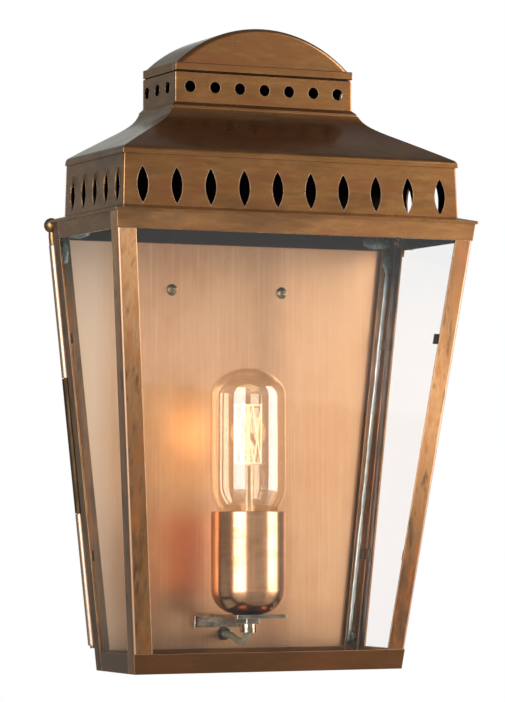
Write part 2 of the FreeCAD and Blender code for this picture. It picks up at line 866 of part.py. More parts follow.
def holder_body():
    floor = bracket_top + cup_sheet
    bore = nipple_r + pin_fit
    well = floor + body_floor + sheet
    return turned([(bore, floor), (cup_r - cup_corner, floor), (body_r - sheet, shell_low),
                   (body_r, shell_low + sheet), (body_r, body_top), (body_bore, body_top), (body_bore, well),
                   (bore, well)])


def screw_shell():
    inner = shell_r - shell_sheet
    return turned([(shell_r - shell_ring, shell_low), (shell_r, shell_low), (shell_r, shell_top),
                   (inner, shell_top), (inner, shell_low + shell_sheet),
                   (shell_r - shell_ring, shell_low + shell_sheet)])


def centre_contact():
    """Springy strip from a foot beside the nipple, up and over under the bulb's button."""
    floor = bracket_top + cup_sheet + body_floor + sheet
    high = button_low - seat_gap
    x = nipple_r + seat_gap
    section = [(x, floor), (nipple_r + button_r, floor), (nipple_r + button_r, floor + shell_sheet),
               (x + shell_sheet, floor + shell_sheet), (x + shell_sheet, high), (-button_r, high),
               (-button_r, high - shell_sheet), (x, high - shell_sheet)]
    strip = face_of([rim(r, h) for r, h in section]).extrude(vec(0, 2 * contact_half, 0))
    strip.translate(vec(0, -contact_half, 0))
    return strip


# Bulb


def bulb_profile(inset):
    """Edges from the neck up a double-curved shoulder and the straight wall over a two-centred dome."""
    swell, climb = bulb_r - bulb_neck_r, bulb_shoulder - bulb_throat
    angle = 2 * math.atan(swell / climb)
    curve_r = climb / (2 * math.sin(angle))
    crown_x = bulb_r - dome_corner_r
    crown_r = (dome_rise ** 2 + crown_x ** 2 - dome_corner_r ** 2) / (2 * (dome_rise - dome_corner_r))
    turn = math.atan2(crown_r - dome_rise, crown_x)

    def flare(a):
        reach = curve_r + inset
        return rim(bulb_neck_r + curve_r - reach * math.cos(a), bulb_throat + reach * math.sin(a))

    def swell_in(a):
        reach = curve_r - inset
        return rim(bulb_r - curve_r + reach * math.cos(a), bulb_shoulder - reach * math.sin(a))

    def corner(a):
        reach = dome_corner_r - inset
        return rim(crown_x + reach * math.cos(a), bulb_dome + reach * math.sin(a))

    def crown(a):
        reach = crown_r - inset
        return rim(reach * math.cos(a), bulb_top - crown_r + reach * math.sin(a))

    over = math.pi / 2
    return [Part.LineSegment(rim(bulb_neck_r - inset, bulb_neck), flare(0)).toShape(),
            Part.Arc(flare(0), flare(angle / 2), flare(angle)).toShape(),
            Part.Arc(flare(angle), swell_in(angle / 2), swell_in(0)).toShape(),
            Part.LineSegment(swell_in(0), corner(0)).toShape(),
            Part.Arc(corner(0), corner(turn / 2), corner(turn)).toShape(),
            Part.Arc(corner(turn), crown((turn + over) / 2), rim(0, bulb_top - inset)).toShape()]


def bulb_glass():
    ends = [Part.LineSegment(rim(bulb_neck_r, bulb_neck), rim(bulb_neck_r - bulb_wall, bulb_neck)).toShape(),
            Part.LineSegment(rim(0, bulb_top), rim(0, bulb_top - bulb_wall)).toShape()]
    return spun(Part.Face(Part.Wire(Part.__sortEdges__(bulb_profile(0) + bulb_profile(bulb_wall) + ends))))


def bulb_cap():
    """Sleeve of the screw cap with a floor that narrows to the insulator."""
    inner = screw_cap_r - screw_cap_sheet
    ring = button_r + sheet
    return turned([(screw_cap_r, screw_cap_low), (screw_cap_r, screw_cap_high), (inner, screw_cap_high),
                   (inner, screw_cap_low), (ring, screw_cap_low - sheet),
                   (ring + screw_cap_sheet, screw_cap_low - sheet)])


def cap_insulator():
    r = button_r + sheet - screw_cap_sheet
    low, high = button_low + sheet, screw_cap_low + sheet
    return turned([(0, low), (r, low), (r, high), (0, high)])


def cap_button():
    return turned([(0, button_low), (button_r - sheet, button_low), (button_r, button_low + sheet),
                   (0, button_low + sheet)])


def bulb_stem():
    """Glass foot that flares out to the neck of the bulb and narrows to a rod."""
    return turned([(0, stem_low + sheet), (stem_foot_r, stem_low), (stem_foot_r, stem_low + sheet),
                   (stem_r, stem_low + stem_flare), (stem_r, stem_top - sheet), (stem_r - sheet, stem_top),
                   (0, stem_top)])


def spoke(a, h):
    return vec(lamp_x + hairpin_r * math.cos(a), lamp_y + hairpin_r * math.sin(a), z_at(h))


def wire(points):
    """Round wire through points, with a ball at each bend."""
    shapes = [Part.makeCylinder(wire_r, (b - a).Length, a, b - a) for a, b in zip(points, points[1:])]
    return shapes + [Part.makeSphere(wire_r, p) for p in points[1:-1]]


def filament():
    """Zigzag of straight hairpins round a wire hub, each held at its top and its foot."""
    low = stem_top + sheet
    shapes = [upright(hub_r / 2, stem_top, hairpin_top), upright(hub_r, hairpin_top - sheet, hairpin_top),
              upright(hub_r, hub_level, hub_level + sheet)]
    pitch = 2 * math.pi / hairpins
    for i in range(hairpins):
        crown = (i + 0.5) * pitch
        shapes += wire([spoke(i * pitch, low), spoke(crown, hairpin_top), spoke((i + 1) * pitch, low)])
        shapes += wire([rim(0, hairpin_top - sheet / 2), spoke(crown, hairpin_top - sheet / 2)])
        shapes += wire([rim(0, low), spoke(i * pitch, low)])
    return joined(shapes)


# Supply cable


def rounded_path(points, r):
    """Straight runs with a tangent arc of radius r at each bend."""
    edges = []
    start = points[0]
    for before, bend, after in zip(points, points[1:], points[2:]):
        a = (before - bend).normalize()
        b = (after - bend).normalize()
        angle = a.getAngle(b)
        run = r / math.tan(angle / 2)
        middle = (a + b).normalize()
        centre = bend + middle * (r / math.sin(angle / 2))
        edges.append(Part.LineSegment(start, bend + a * run).toShape())
        edges.append(Part.Arc(bend + a * run, centre - middle * r, bend + b * run).toShape())
        start = bend + b * run
    edges.append(Part.LineSegment(start, points[-1]).toShape())
    return Part.Wire(edges)


def supply_cable():
    dip, level = z_at(cable_low), z_at(cable_hole_level)
    span = plate_y - lamp_y
    points = [rim(0, cable_top), rim(0, cable_low),
              vec((lamp_x + cable_x) / 2, lamp_y + span * cable_dip_share, dip),
              vec(cable_x, lamp_y + span * cable_rise_share, level), vec(cable_x, -sheet, level)]
    section = Part.Wire(Part.makeCircle(cable_r, points[0], vec(0, 0, 1)))
    return rounded_path(points, cable_bend).makePipeShell([section], True, False)


def cable_grommet():
    z = z_at(cable_hole_level)
    front, back = plate_y - grommet_lip, plate_y + plate_sheet + grommet_lip
    pieces = [rod_y(cable_hole_r - pin_fit, cable_x, front, back, z),
              rod_y(grommet_flange_r, cable_x, front, plate_y, z),
              rod_y(grommet_flange_r, cable_x, plate_y + plate_sheet, back, z)]
    return joined(pieces).cut(rod_y(cable_r + pin_fit, cable_x, front - overcut, back + overcut, z))


top_low = cage_height - top_rail
top_shelf = cage_height - sheet
parts = {
    "back_plate": back_plate(),
    "wall_strap": wall_strap(),
    "plate_screws": plate_screws(),
    "lamp_bracket": lamp_bracket(),
    "holder_nipple": holder_nipple(),
    "nipple_nut": nipple_nut(),
    "holder_cup": holder_cup(),
    "holder_body": holder_body(),
    "screw_shell": screw_shell(),
    "centre_contact": centre_contact(),
    "supply_cable": supply_cable(),
    "cable_grommet": cable_grommet(),
    "bulb_glass": bulb_glass(),
    "bulb_cap": bulb_cap(),
    "cap_insulator": cap_insulator(),
    "cap_button": cap_button(),
    "bulb_stem": bulb_stem(),
    "filament": filament(),
    "front_post_left": front_post(),
    "front_post_right": mirrored(front_post()),
    "rear_post_left": rear_post(),
    "rear_post_right": drilled_rear_post(),
    "top_rail_front": front_rail(top_low, cage_height, top_shelf),
    "top_rail_left": side_rail(top_low, cage_height, top_shelf),
    "top_rail_right": mirrored(side_rail(top_low, cage_height, top_shelf)),
    "top_rail_rear": rear_rail(top_low, cage_height, top_shelf),
    "bottom_rail_front": front_rail(0, bottom_rail, 0),
    "bottom_rail_left": side_rail(0, bottom_rail, 0),
    "bottom_rail_right": mirrored(side_rail(0, bottom_rail, 0)),
    "bottom_rail_rear": rear_rail(0, bottom_rail, 0),
    "pane_front": front_pane(),
    "pane_left": side_pane(),
    "pane_right": mirrored(side_pane()),
    "glass_clips": glass_clips(),
    "cornice": cornice(),
    "vent_frieze": vent_frieze(),
    "roof": roof(),
    "roof_back": roof_back(),
    "vent_collar": vent_collar(),
    "cap_vault": cap_vault(),
    "cap_front": cap_front(),
    "cage_knuckle": cage_knuckle(),
    "hinge_pin": hinge_pin(),
    "closing_nut": closing_nut(),
    "thumb_screw": thumb_screw(),
}

os.makedirs("parts", exist_ok=True)
for name, shape in parts.items():
    shape.exportStep("parts/" + name + ".step")
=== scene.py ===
import json
import math

import bmesh
import bpy
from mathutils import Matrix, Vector, noise

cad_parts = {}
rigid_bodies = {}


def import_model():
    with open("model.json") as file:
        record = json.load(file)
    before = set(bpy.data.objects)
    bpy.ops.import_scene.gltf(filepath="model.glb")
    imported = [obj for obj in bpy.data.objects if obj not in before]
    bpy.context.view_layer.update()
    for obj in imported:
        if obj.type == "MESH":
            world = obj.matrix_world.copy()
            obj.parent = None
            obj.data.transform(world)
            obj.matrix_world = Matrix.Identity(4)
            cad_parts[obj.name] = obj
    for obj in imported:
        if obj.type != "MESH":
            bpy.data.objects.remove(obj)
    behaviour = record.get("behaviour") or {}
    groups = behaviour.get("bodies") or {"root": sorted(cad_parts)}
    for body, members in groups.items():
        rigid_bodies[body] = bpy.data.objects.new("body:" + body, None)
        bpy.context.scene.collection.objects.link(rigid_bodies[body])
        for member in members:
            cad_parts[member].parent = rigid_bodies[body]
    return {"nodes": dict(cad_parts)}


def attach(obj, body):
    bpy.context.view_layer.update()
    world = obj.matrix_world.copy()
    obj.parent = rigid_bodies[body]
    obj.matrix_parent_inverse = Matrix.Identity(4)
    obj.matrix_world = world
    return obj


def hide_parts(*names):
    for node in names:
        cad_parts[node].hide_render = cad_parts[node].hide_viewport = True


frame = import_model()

for leftover in [o for o in bpy.data.objects if o.name in ("Cube", "Camera", "Light")]:
    bpy.data.objects.remove(leftover)
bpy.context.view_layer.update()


# Back plate, with the two bright hinge knuckles rolled from its left edge.
# New copper sheet, brushed upright at the mill, cut and folded; only the frame outside was aged.
# The brush lines blur what the plate mirrors, so the lit bulb and the cup glow in it.

MIX_SHARE, MIX_FROM, MIX_TO = 0, 6, 7


def linear(hex_colour):
    """The linear colour of an sRGB hex value."""
    shares = [int(hex_colour[i:i + 2], 16) / 255 for i in (1, 3, 5)]
    return [s / 12.92 if s <= 0.04045 else ((s + 0.055) / 1.055) ** 2.4 for s in shares] + [1.0]


def add(tree, kind, feeds=None, **settings):
    """Adds one node with its settings, and sets or links its inputs."""
    node = tree.nodes.new(kind)
    for name, value in settings.items():
        setattr(node, name, value)
    for name, value in (feeds or {}).items():
        if isinstance(value, bpy.types.NodeSocket):
            tree.links.new(value, node.inputs[name])
        else:
            node.inputs[name].default_value = value
    return node


def new_finish(name):
    """An empty node material, and its tree."""
    finish = bpy.data.materials.new(name)
    finish.use_nodes = True
    finish.node_tree.nodes.clear()
    return finish, finish.node_tree


# Where each layer of a finish starts and where it is full, on its noise or measure.
PATCH_SPAN = (0.38, 0.6)
GRAIN_SPAN = (0.48, 0.74)
STAIN_SPAN = (0.5, 0.68)
BLOTCH_SPAN = (0.46, 0.3)
INSIDE_SPAN = (0.0, -0.004)
RUBBED_AND_LIT_EDGE_SPAN = (0.99, 0.86)
FOLD_HIGHLIGHT_SPAN = (0.1, 0.28)
FOLD_HIGHLIGHT_MOST = 0.95
DULL_SPAN = (0.3, 0.7)
# How rough the noise is, how far edges are rubbed and take their painted highlight, how strong the
# relief, how long a ripple.
NOISE_ROUGHNESS = 0.62
RUBBED_AND_LIT_EDGE_MM = 0.6
RELIEF_SHARE = 0.5
SWELL_MM = 35
LACQUER_ROUGHNESS = 0.14
# The middle of the lamp's room, which tells inside from outside, and the hinge's lean for each metre.
LAMP_SPACE = (0, -0.045, 0.02)
HINGE_LEAN = 0.1086


def metal_finish(name, dark, body, bright, patch_mm, grain_mm, roughness, wear_and_highlight=0.6, lines=0.3,
                 stain=None, blotch=None, stain_mm=(20, 20, 20), stained=0.5, relief_mm=0.03,
                 ripple_mm=0.0, lacquer=0.0, inside_shade=None, inside_shade_span=(-0.12, 0.04), fades=(), fold_highlight=None):
    """A metal sheet: patches, grain lines, slow fades along an axis of the lantern or square to its
    hinge, stains and blotches, painted shade on the inside, rubbed edges that also carry a painted
    highlight, and a painted highlight on folded corners. A fade is its axis, where it starts and is
    full in metres, its most, and its colour; most fades paint light or shade onto a part."""
    finish, tree = new_finish(name)
    spot = add(tree, "ShaderNodeTexCoord")
    place = spot.outputs["Object"]
    cloud = {}
    for label, sizes, detail in (("patch", patch_mm, 5.0), ("grain", grain_mm, 3.0),
                                 ("stain", stain_mm, 3.0)):
        scaled = add(tree, "ShaderNodeMapping",
                     {"Vector": place, "Scale": [1000 / size for size in sizes]})
        cloud[label] = add(tree, "ShaderNodeTexNoise",
                           {"Vector": scaled.outputs["Vector"], "Scale": 1.0, "Detail": detail,
                            "Roughness": NOISE_ROUGHNESS}).outputs["Fac"]
    rounded = add(tree, "ShaderNodeBevel", {"Radius": RUBBED_AND_LIT_EDGE_MM / 1000}, samples=6)
    facing = add(tree, "ShaderNodeNewGeometry")
    sameness = add(tree, "ShaderNodeVectorMath",
                   {0: rounded.outputs["Normal"], 1: facing.outputs["Normal"]},
                   operation="DOT_PRODUCT")
    along = dict(add(tree, "ShaderNodeSeparateXYZ", {"Vector": place}).outputs.items())
    along["hinge"] = add(tree, "ShaderNodeMath", {0: along["Z"], 1: HINGE_LEAN, 2: along["X"]},
                         operation="MULTIPLY_ADD").outputs["Value"]
    layers = [(cloud["patch"], *PATCH_SPAN, 1.0, body), (cloud["grain"], *GRAIN_SPAN, lines, bright)]
    # Fades along the lantern's axes; most of them paint light or shade onto a part.
    layers += [(along[axis], low, high, most, colour) for axis, low, high, most, colour in fades]
    if stain:
        layers += [(cloud["stain"], *STAIN_SPAN, stained, stain),
                   (cloud["stain"], *BLOTCH_SPAN, stained, blotch)]
    # Painted shade on the inside: faces turned towards the middle of the lantern are darkened, more so
    # higher up.
    if inside_shade:
        outwards = add(tree, "ShaderNodeVectorMath", {0: place, 1: LAMP_SPACE}, operation="SUBTRACT")
        inside = add(tree, "ShaderNodeVectorMath",
                     {0: outwards.outputs["Vector"], 1: spot.outputs["Normal"]},
                     operation="DOT_PRODUCT")
        risen = add(tree, "ShaderNodeMapRange",
                    {"Value": along["Z"], "From Min": inside_shade_span[0], "From Max": inside_shade_span[1]})
        layers.append((inside.outputs["Value"], *INSIDE_SPAN, risen.outputs["Result"], inside_shade))
    # Edges found by the Bevel node are lightened: partly rubbing, partly a painted highlight.
    layers.append((sameness.outputs["Value"], *RUBBED_AND_LIT_EDGE_SPAN, wear_and_highlight, bright))
    # Painted highlight: faces turned half to the front and half to a side, as at the folds of the posts,
    # take a paler tone.
    if fold_highlight:
        lie = add(tree, "ShaderNodeSeparateXYZ", {"Vector": spot.outputs["Normal"]})
        between = add(tree, "ShaderNodeMath", {0: lie.outputs["X"], 1: lie.outputs["Y"]},
                      operation="MULTIPLY")
        either_way = add(tree, "ShaderNodeMath", {0: between.outputs["Value"]}, operation="ABSOLUTE")
        layers.append((either_way.outputs["Value"], *FOLD_HIGHLIGHT_SPAN, FOLD_HIGHLIGHT_MOST, fold_highlight))
    tone = linear(dark)
    for value, low, high, most, colour in layers:
        share = add(tree, "ShaderNodeMapRange",
                    {"Value": value, "From Min": low, "From Max": high, "To Max": most})
        tone = add(tree, "ShaderNodeMix",
                   {MIX_SHARE: share.outputs["Result"], MIX_FROM: tone, MIX_TO: linear(colour)},
                   data_type="RGBA").outputs[2]
    dull = add(tree, "ShaderNodeMapRange",
               {"Value": cloud["patch"], "From Min": DULL_SPAN[0], "From Max": DULL_SPAN[1],
                "To Min": roughness[1], "To Max": roughness[0]})
    relief = add(tree, "ShaderNodeBump",
                 {"Height": cloud["grain"], "Distance": relief_mm / 1000, "Strength": RELIEF_SHARE,
                  "Normal": rounded.outputs["Normal"]})
    if ripple_mm:
        swell = add(tree, "ShaderNodeTexNoise",
                    {"Vector": place, "Scale": 1000 / SWELL_MM, "Detail": 1.0})
        relief = add(tree, "ShaderNodeBump",
                     {"Height": swell.outputs["Fac"], "Distance": ripple_mm / 1000, "Strength": 1.0,
                      "Normal": relief.outputs["Normal"]})
    shader = add(tree, "ShaderNodeBsdfPrincipled",
                 {"Base Color": tone, "Metallic": 1.0, "Roughness": dull.outputs["Result"],
                  "Normal": relief.outputs["Normal"], "Coat Weight": lacquer,
                  "Coat Roughness": LACQUER_ROUGHNESS})
    add(tree, "ShaderNodeOutputMaterial", {"Surface": shader.outputs["BSDF"]})
    return finish


def dress(finish, *nodes):
    """Puts a finish on whole nodes of the frame."""
    for node in nodes:
        for slot in frame["nodes"][node].material_slots:
            slot.material = finish


# Brushed copper: pale pink-orange with upright lines. Its fades are painted light and shade: paler at the
# left edge, browner at the foot, darker over the right part, and greyer on the hinge knuckles to dim the
# lamps' highlight there.
# Real brush lines lie a few tenths of a millimetre apart; they are drawn coarser so that they show.
brushed_copper = metal_finish(
    "brushed_copper_sheet", dark="#cd976c", body="#dfab80", bright="#f2cba6",
    patch_mm=(50, 50, 90), grain_mm=(1.2, 1.2, 90), roughness=(0.34, 0.44), wear_and_highlight=0.5,
    fades=[("Z", -0.186, -0.224, 0.75, "#8a6a50"), ("X", -0.066, -0.088, 0.8, "#f6d8bc"),
           ("X", 0.02, 0.08, 0.5, "#c99a70"), ("hinge", -0.1062, -0.1072, 0.9, "#b59c88")])
dress(brushed_copper, "back_plate")


# Wall strap behind the plate, and the two round-headed screws that hold the plate to it.
# The strap is zinc-plated steel, pressed and drilled; the screws are brass gone grey-olive.

# Zinc plate: a cool grey with soft cloudy patches and paler edges.
zinc_plate = metal_finish(
    "zinc_plated_steel", dark="#8f918e", body="#b4b6b2", bright="#d8dad6",
    patch_mm=(8, 8, 8), grain_mm=(6, 6, 6), roughness=(0.34, 0.5), wear_and_highlight=0.4)
dress(zinc_plate, "wall_strap")

# Aged screw brass: dull grey-olive, with a bright rim round the head and the slot, partly rubbed and
# partly a painted highlight.
aged_screw = metal_finish(
    "aged_screw_brass", dark="#6f5f42", body="#9c8a66", bright="#d6c8a2",
    patch_mm=(6, 6, 6), grain_mm=(2, 2, 2), roughness=(0.3, 0.46), wear_and_highlight=0.7, relief_mm=0.02)
dress(aged_screw, "plate_screws")


# Lamp bracket, hollow nipple and its nut, which carry the cup and clamp it.
# Folded strip and turned brass, all nickelled; the cable comes out through the nipple.

# Nickelled brass: a near mirror, dark where it shows the cage, with a painted white highlight along its
# edges.
nickel_bright = metal_finish(
    "nickelled_brass", dark="#6b5a49", body="#a08d79", bright="#fffaf0",
    patch_mm=(7, 7, 7), grain_mm=(4, 4, 1.2), roughness=(0.09, 0.16), wear_and_highlight=0.9)
dress(nickel_bright, "holder_nipple", "nipple_nut", "lamp_bracket")


# Lampholder: a spun copper cup polished to a mirror, and inside it the moulded body.
# The body is dark phenolic resin, smooth from its mould, and carries the turned brass shell and
# contact; the nut of the closing screw is of the same brass.

# Polished copper: tall light stripes between brown ones, faintly ringed by the spinning.
polished_copper = metal_finish(
    "polished_spun_copper", dark="#c28b62", body="#d6a47c", bright="#f0ccac",
    patch_mm=(26, 26, 26), grain_mm=(14, 14, 1.1), roughness=(0.19, 0.25), wear_and_highlight=0.3, relief_mm=0.008)
dress(polished_copper, "holder_cup")

# Turned brass: plain yellow with fine rings from the lathe.
turned_brass = metal_finish(
    "turned_brass", dark="#a98a52", body="#cbaa6a", bright="#ecd8a4",
    patch_mm=(10, 10, 10), grain_mm=(9, 9, 0.9), roughness=(0.2, 0.32), wear_and_highlight=0.5, relief_mm=0.05)
dress(turned_brass, "screw_shell", "centre_contact", "closing_nut")

MOTTLE_SPAN = (0.35, 0.7)
SOFT_NOISE = {"Detail": 4.0, "Roughness": 0.6}
MOULD_RELIEF_SHARE = 0.6


def moulded_finish(name, colour, paler, grain_mm, roughness, relief_mm):
    """A moulded or rubbery skin: a soft mottle of one colour over a fine grain."""
    finish, tree = new_finish(name)
    place = add(tree, "ShaderNodeTexCoord").outputs["Object"]
    mottle = add(tree, "ShaderNodeTexNoise", {"Vector": place, "Scale": 1000 / grain_mm, **SOFT_NOISE})
    share = add(tree, "ShaderNodeMapRange",
                {"Value": mottle.outputs["Fac"], "From Min": MOTTLE_SPAN[0], "From Max": MOTTLE_SPAN[1]})
    tone = add(tree, "ShaderNodeMix",
               {MIX_SHARE: share.outputs["Result"], MIX_FROM: linear(colour), MIX_TO: linear(paler)},
               data_type="RGBA")
    dull = add(tree, "ShaderNodeMapRange",
               {"Value": mottle.outputs["Fac"], "From Min": DULL_SPAN[0], "From Max": DULL_SPAN[1],
                "To Min": roughness[0], "To Max": roughness[1]})
    relief = add(tree, "ShaderNodeBump",
                 {"Height": mottle.outputs["Fac"], "Distance": relief_mm / 1000,
                  "Strength": MOULD_RELIEF_SHARE})
    shader = add(tree, "ShaderNodeBsdfPrincipled",
                 {"Base Color": tone.outputs[2], "Roughness": dull.outputs["Result"],
                  "Normal": relief.outputs["Normal"]})
    add(tree, "ShaderNodeOutputMaterial", {"Surface": shader.outputs["BSDF"]})
    return finish


# Phenolic resin: brown-black with a soft shine.
phenolic = moulded_finish("moulded_phenolic", colour="#1d1712", paler="#2c231b", grain_mm=3,
                          roughness=(0.3, 0.45), relief_mm=0.05)
dress(phenolic, "holder_body", "cap_insulator")


# Supply cable: a round two-core lead that leaves the nipple, turns back and goes into the wall.
# Its sheath is soft PVC drawn over the cores; a black rubber grommet lines its hole.

CABLE_ROUTE = [(-0.0064, -0.0511, -0.189), (-0.0064, -0.0511, -0.2112), (-0.0043, -0.0315, -0.2112),
               (-0.0022, -0.0198, -0.2077), (-0.0022, -0.001, -0.2077)]
CABLE_ACROSS = 0.0042

lead = bpy.data.curves.new("supply_lead", "CURVE")
lead.dimensions = "3D"
lead.bevel_depth = CABLE_ACROSS / 2
lead.bevel_resolution = 5
lead.resolution_u = 16
lead.use_fill_caps = True
line = lead.splines.new("NURBS")
line.points.add(len(CABLE_ROUTE) - 1)
for point, place in zip(line.points, CABLE_ROUTE):
    point.co = (*place, 1.0)
line.order_u = 3
line.use_endpoint_u = True
lead_piece = bpy.data.objects.new("supply_lead", lead)
bpy.context.collection.objects.link(lead_piece)
# PVC sheath: olive-grey, matt and a little dusty.
cable_sheath = moulded_finish("cable_sheath_pvc", colour="#837a5e", paler="#9a9174", grain_mm=2.5,
                              roughness=(0.4, 0.55), relief_mm=0.04)
lead.materials.append(cable_sheath)
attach(lead_piece, "wall_unit")
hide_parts("supply_cable")

# Grommet rubber: black and dull, with a fine skin.
black_rubber = moulded_finish("grommet_rubber", colour="#16140f", paler="#25221c", grain_mm=2,
                              roughness=(0.5, 0.7), relief_mm=0.06)
dress(black_rubber, "cable_grommet")


# Bulb: a clear tube with a faint warm tint, drawn to a neck and sealed on a glass stem.
# Its hairpin filament glows softly; the cap is thin pressed brass, soldered at the button.

SMEAR_SPAN = (0.35, 0.75)
SMEAR_RELIEF = {"Distance": 0.0002, "Strength": 0.12}


def glass_finish(name, tint, smear_mm, roughness, bending):
    """Thin clear glass: it lets what is behind show through, and mirrors more towards its edges."""
    finish, tree = new_finish(name)
    place = add(tree, "ShaderNodeTexCoord").outputs["Object"]
    smear = add(tree, "ShaderNodeTexNoise", {"Vector": place, "Scale": 1000 / smear_mm, **SOFT_NOISE})
    dull = add(tree, "ShaderNodeMapRange",
               {"Value": smear.outputs["Fac"], "From Min": SMEAR_SPAN[0], "From Max": SMEAR_SPAN[1],
                "To Min": roughness[0], "To Max": roughness[1]})
    relief = add(tree, "ShaderNodeBump", {"Height": smear.outputs["Fac"], **SMEAR_RELIEF})
    edge = add(tree, "ShaderNodeFresnel", {"IOR": bending, "Normal": relief.outputs["Normal"]})
    outside = add(tree, "ShaderNodeMath",
                  {0: 1.0, 1: add(tree, "ShaderNodeNewGeometry").outputs["Backfacing"]},
                  operation="SUBTRACT")
    mirrored = add(tree, "ShaderNodeMath", {0: edge.outputs["Fac"], 1: outside.outputs["Value"]},
                   operation="MULTIPLY")
    clear = add(tree, "ShaderNodeBsdfTransparent", {"Color": linear(tint)})
    shine = add(tree, "ShaderNodeBsdfAnisotropic",
                {"Color": linear("#ffffff"), "Roughness": dull.outputs["Result"],
                 "Normal": relief.outputs["Normal"]})
    wall = add(tree, "ShaderNodeMixShader",
               {0: mirrored.outputs["Value"], 1: clear.outputs["BSDF"], 2: shine.outputs["BSDF"]})
    add(tree, "ShaderNodeOutputMaterial", {"Surface": wall.outputs["Shader"]})
    return finish


# Bulb glass: clear and a little warm, with tall white reflections down both sides.
warm_glass = glass_finish("warm_bulb_glass", tint="#fefaf2", smear_mm=14, roughness=(0.02, 0.07),
                          bending=2.1)
dress(warm_glass, "bulb_glass", "bulb_stem")

# Pressed brass: pale yellow, ringed by the rolling of its thread.
pressed_brass = metal_finish(
    "pressed_cap_brass", dark="#a88d5c", body="#c8ad76", bright="#efe0b4",
    patch_mm=(8, 8, 8), grain_mm=(8, 8, 1.5), roughness=(0.24, 0.36), wear_and_highlight=0.5)
dress(pressed_brass, "bulb_cap", "cap_button")

# Filament wire: cream-white where it is hottest, and a warmer yellow between.
WIRE_HEAT_MM = 6
WIRE_GLOW = 1.3
glowing_wire, wire_tree = new_finish("glowing_filament_wire")
wire_place = add(wire_tree, "ShaderNodeTexCoord").outputs["Object"]
wire_heat = add(wire_tree, "ShaderNodeTexNoise",
                {"Vector": wire_place, "Scale": 1000 / WIRE_HEAT_MM, "Detail": 2.0})
wire_tone = add(wire_tree, "ShaderNodeMix",
                {MIX_SHARE: wire_heat.outputs["Fac"], MIX_FROM: linear("#f2d2a0"),
                 MIX_TO: linear("#fff3dc")}, data_type="RGBA")
wire_shader = add(wire_tree, "ShaderNodeBsdfPrincipled",
                  {"Base Color": linear("#8a7350"), "Metallic": 1.0, "Roughness": 0.35,
                   "Emission Color": wire_tone.outputs[2], "Emission Strength": WIRE_GLOW})
add(wire_tree, "ShaderNodeOutputMaterial", {"Surface": wire_shader.outputs["BSDF"]})
dress(glowing_wire, "filament")

GLOW_AT = (-0.0064, -0.0511, -0.086)
GLOW_WATTS = 0.015
GLOW_RADIUS = 0.012
glow = bpy.data.lights.new("filament_glow", "POINT")
glow.energy = GLOW_WATTS
glow.color = linear("#ffd9a6")[:3]
glow.shadow_soft_size = GLOW_RADIUS
glow_point = bpy.data.objects.new("filament_glow", glow)
glow_point.location = GLOW_AT
glow_point.visible_camera = False
bpy.context.collection.objects.link(glow_point)


# Cage frame: four angle posts and eight rails folded from brass sheet, soldered at the corners.
# The brass was aged brown and waxed: reddish and dark patches, fine lines along each strip,
# and a paler tone on the folds, a painted highlight of the lamps.

# Front posts: orange-brown with dark freckles. Their fades along the height are painted light and shade:
# the left is palest at its top, the right at its middle, both darker lower down, and the right also
# darker at its top. Their inner faces take painted shade, their folds a painted highlight.
FRONT_POST = {"dark": "#9a6a3c", "body": "#bf8a59", "bright": "#f2cfa2", "stain": "#b0683a",
              "blotch": "#54392a", "patch_mm": (14, 14, 60), "grain_mm": (1.4, 1.4, 50),
              "stain_mm": (5, 5, 22), "stained": 0.7, "roughness": (0.3, 0.44), "lines": 0.2,
              "ripple_mm": 0.05, "lacquer": 0.6, "inside_shade": "#2c2b25", "fold_highlight": "#b48c70"}
left_post_brass = metal_finish(
    "aged_brass_left_post", **FRONT_POST,
    fades=[("Z", -0.05, 0.01, 0.5, "#e4ac78"), ("Z", -0.01, -0.09, 0.5, "#6a482c")])
dress(left_post_brass, "front_post_left")
right_post_brass = metal_finish(
    "aged_brass_right_post", **FRONT_POST,
    fades=[("Z", -0.02, -0.06, 0.44, "#e6ab74"), ("Z", -0.04, 0.01, 0.72, "#7d5230"),
           ("Z", -0.085, -0.175, 0.88, "#61412a")])
dress(right_post_brass, "front_post_right")

# Rear posts: a darker brown, with painted shade at the top of their inner faces and towards their foot.
rear_brass = metal_finish(
    "aged_brass_rear_post", dark="#6b4a30", body="#8f6845", bright="#cfa883", stain="#985f38",
    blotch="#4a3828", patch_mm=(10, 10, 50), grain_mm=(1.4, 1.4, 50), stain_mm=(6, 6, 30),
    roughness=(0.3, 0.44), wear_and_highlight=0.5, lines=0.2, ripple_mm=0.05, lacquer=0.15, inside_shade="#23261f",
    inside_shade_span=(-0.02, 0.035), fades=[("Z", -0.16, -0.22, 0.6, "#4a3d30")])
dress(rear_brass, "rear_post_left", "rear_post_right")

# Rails and roof: waxed brown with long soft stains, darkened on the inside by painted shade, and darker
# along the bottom rails by painted shade.
level_brass = metal_finish(
    "aged_brass_level", dark="#734c27", body="#956637", bright="#dba873", stain="#8c5232",
    blotch="#65452c", patch_mm=(60, 50, 16), grain_mm=(14, 14, 3), stain_mm=(48, 48, 14), stained=0.55,
    roughness=(0.24, 0.36), lines=0.14, relief_mm=0.01, ripple_mm=0.06, lacquer=0.55, inside_shade="#1a1009",
    fades=[("Z", -0.20, -0.215, 0.85, "#6b4526")])
dress(level_brass, "top_rail_front", "top_rail_left", "top_rail_right", "top_rail_rear",
      "bottom_rail_front", "bottom_rail_left", "bottom_rail_right", "bottom_rail_rear")


# Soft solder that joins the cage inside: a bead up the rear right post, a run under the roof's
# back panel, and lumps in the corners. Tin run in with an iron, silver where it was wiped and
# Tin run in with an iron and silver where it was wiped; it is dark grey-green high up and at the foot by
# painted shade.

